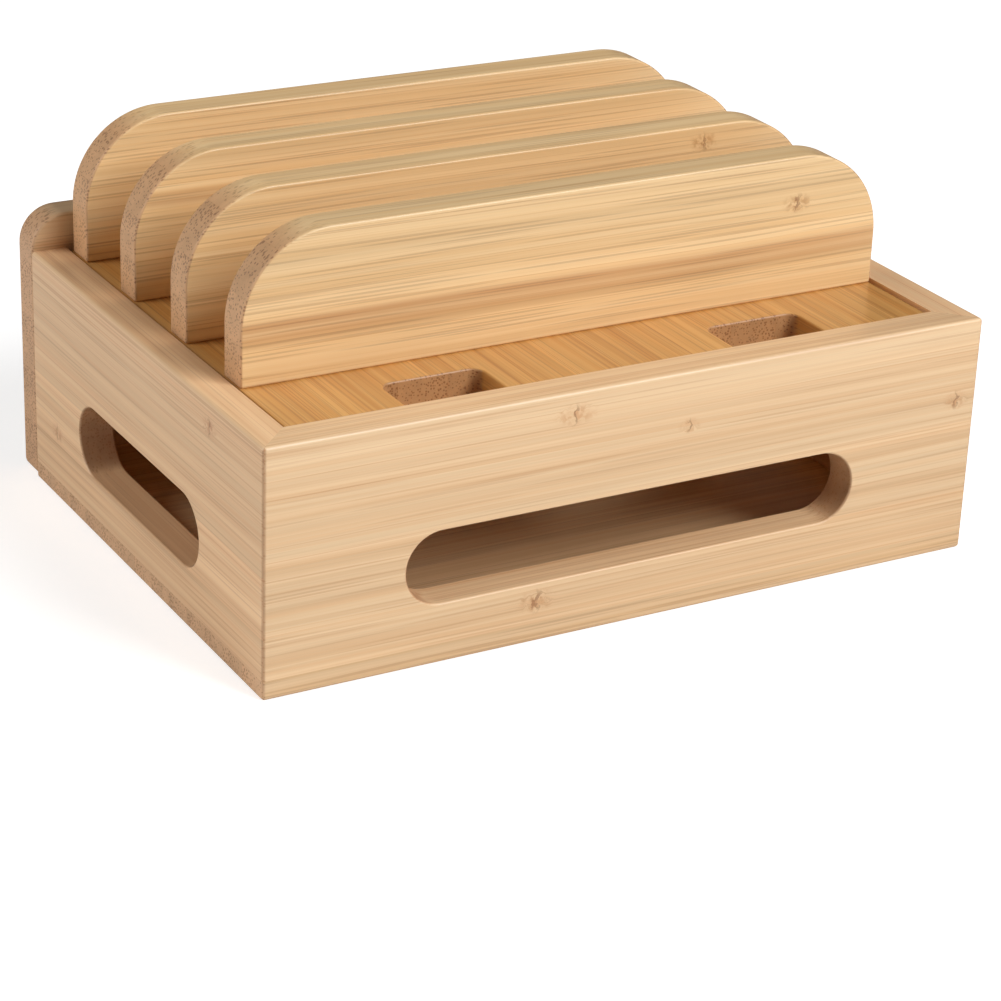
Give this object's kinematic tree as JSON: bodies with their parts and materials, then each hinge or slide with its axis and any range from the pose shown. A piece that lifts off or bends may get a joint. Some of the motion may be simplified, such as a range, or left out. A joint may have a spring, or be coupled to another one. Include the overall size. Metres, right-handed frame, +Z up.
{
  "type": "charging station organizer",
  "caption": "Bamboo box with a lift-off lid, upright dividers with rounded corners that hold phones and tablets, and slots and notches for cables.",
  "frame": {"origin": "middle of the base on the table, halfway across the width and halfway along the depth, back board included", "axes": "+X along the front towards the right, +Y towards the back board, +Z up"},
  "size_m": [0.254, 0.19, 0.1275],
  "materials": {
    "bamboo_box": "pale cream-tan laminated bamboo with fine long grain, clear satin lacquer",
    "bamboo_lid": "golden-orange bamboo with grain running front to back, clear semi-gloss lacquer",
    "bamboo_divider": "cream-tan bamboo with darker streaks along the grain and dotted end grain, clear satin lacquer",
    "magnet": "dull grey plated disc magnet",
    "screw": "zinc-plated wood screw"
  },
  "bodies": {
    "box": {"bottom_board": "bamboo_box", "front_wall": "bamboo_box", "left_wall": "bamboo_box", "right_wall": "bamboo_box", "back_board": "bamboo_box", "left_rail": "bamboo_lid", "right_rail": "bamboo_lid", "rail_magnet_front_left": "magnet", "rail_magnet_front_right": "magnet", "rail_magnet_back_left": "magnet", "rail_magnet_back_right": "magnet"},
    "lid": {"lid_board": "bamboo_lid", "divider_1": "bamboo_divider", "divider_2": "bamboo_divider", "divider_3": "bamboo_divider", "divider_4": "bamboo_divider", "lid_magnet_front_left": "magnet", "lid_magnet_front_right": "magnet", "lid_magnet_back_left": "magnet", "lid_magnet_back_right": "magnet", "divider_1_screws": "screw", "divider_2_screws": "screw", "divider_3_screws": "screw", "divider_4_screws": "screw"}
  },
  "joints": [
    {"name": "lid_lift", "type": "slide", "parent": "box", "child": "lid", "axis": [0, 0, 1], "range_m": [0, 0.06]}
  ]
}
